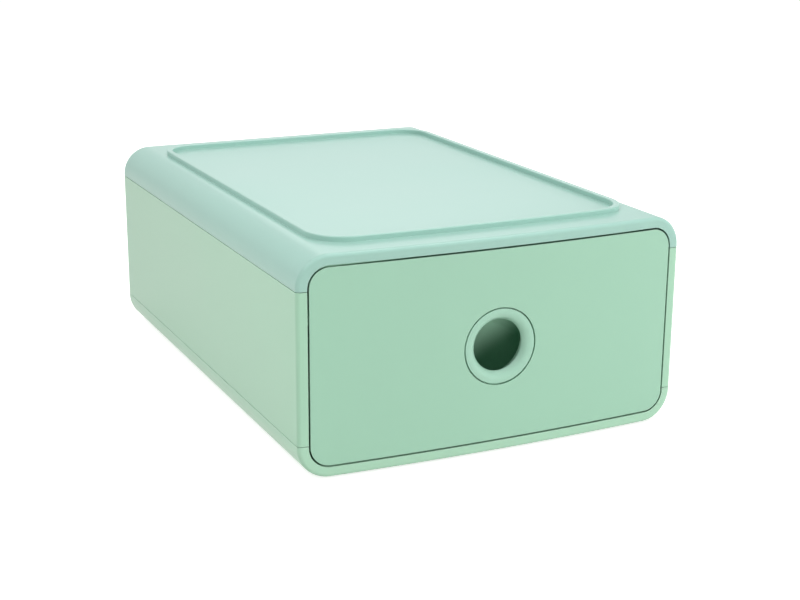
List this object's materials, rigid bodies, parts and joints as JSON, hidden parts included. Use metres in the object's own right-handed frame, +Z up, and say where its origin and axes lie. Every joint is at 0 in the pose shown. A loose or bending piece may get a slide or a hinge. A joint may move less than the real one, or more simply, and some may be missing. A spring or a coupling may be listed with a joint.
{
  "type": "stackable drawer box",
  "caption": "Stackable plastic drawer box: rounded case with a bowed front and a raised stacking rim, and a sliding drawer pulled by a ringed finger hole.",
  "frame": {"origin": "centre of the footprint, on the plane the feet stand on", "axes": "+X to the right as seen from the front, +Y towards the back, +Z up; the drawer opens towards -Y"},
  "size_m": [0.26, 0.364, 0.1405],
  "materials": {
    "case_plastic": "matte",
    "panel_plastic": "matte",
    "tray_plastic": "satin",
    "front_plastic": "matte",
    "ring_plastic": "satin",
    "foot_rubber": "matte"
  },
  "bodies": {
    "case": {"top_cover": "case_plastic", "base_cover": "case_plastic", "left_side_panel": "panel_plastic", "right_side_panel": "panel_plastic", "rear_panel": "panel_plastic", "front_left_foot": "foot_rubber", "front_right_foot": "foot_rubber", "rear_left_foot": "foot_rubber", "rear_right_foot": "foot_rubber"},
    "drawer": {"drawer_tray": "tray_plastic", "drawer_front": "front_plastic", "finger_ring": "ring_plastic"}
  },
  "joints": [
    {"name": "drawer_slide", "type": "slide", "parent": "case", "child": "drawer", "axis": [0, -1, 0], "range_m": [0, 0.284]}
  ]
}
